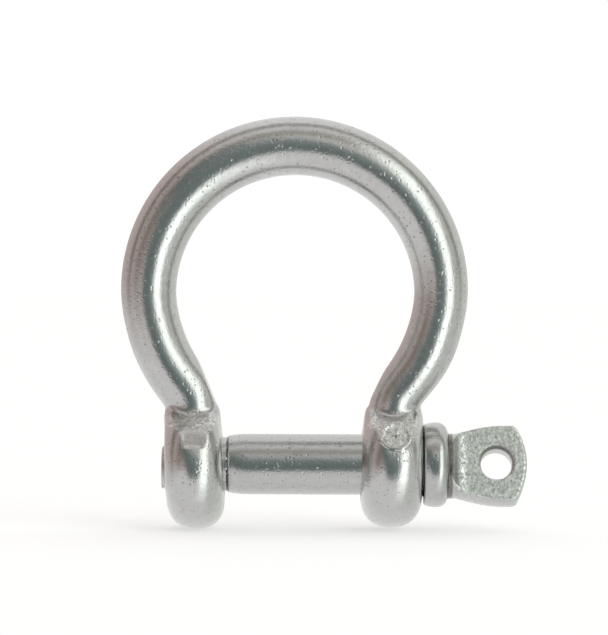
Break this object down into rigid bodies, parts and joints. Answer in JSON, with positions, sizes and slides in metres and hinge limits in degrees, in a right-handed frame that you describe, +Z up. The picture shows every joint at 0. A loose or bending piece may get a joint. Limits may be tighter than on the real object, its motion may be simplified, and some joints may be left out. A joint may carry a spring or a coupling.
{
  "type": "bow shackle",
  "caption": "Forged bow shackle with a wide round bow, a tapped ear, a plain ear and a screw pin with a collar and a flattened eye.",
  "frame": {"origin": "on the axis of the pin, midway between the two ears", "axes": "+X along the pin towards its head, +Z up to the crown of the bow, Y across the bar"},
  "size_m": [0.0538, 0.0172, 0.0544],
  "materials": {
    "bow_steel": "tumble polished forging",
    "pin_steel": "tumble polished forging, with a frosted flat on the eye"
  },
  "bodies": {
    "bow": {"bow": "bow_steel"},
    "pin_carrier": {"pin_shank": "pin_steel"},
    "screw_pin": {"pin_thread": "pin_steel", "pin_head": "pin_steel"}
  },
  "joints": [
    {"name": "pin_travel", "type": "slide", "parent": "bow", "child": "pin_carrier", "axis": [1, 0, 0], "range_m": [0, 0.045]},
    {"name": "pin_turn", "type": "hinge", "parent": "pin_carrier", "child": "screw_pin", "pos_m": [0, 0, 0], "axis": [1, 0, 0], "range_deg": [0, 12975]}
  ],
  "couplings": [
    {"joint": "pin_turn", "follows": "pin_travel", "rad_per_m": 5026.5}
  ]
}
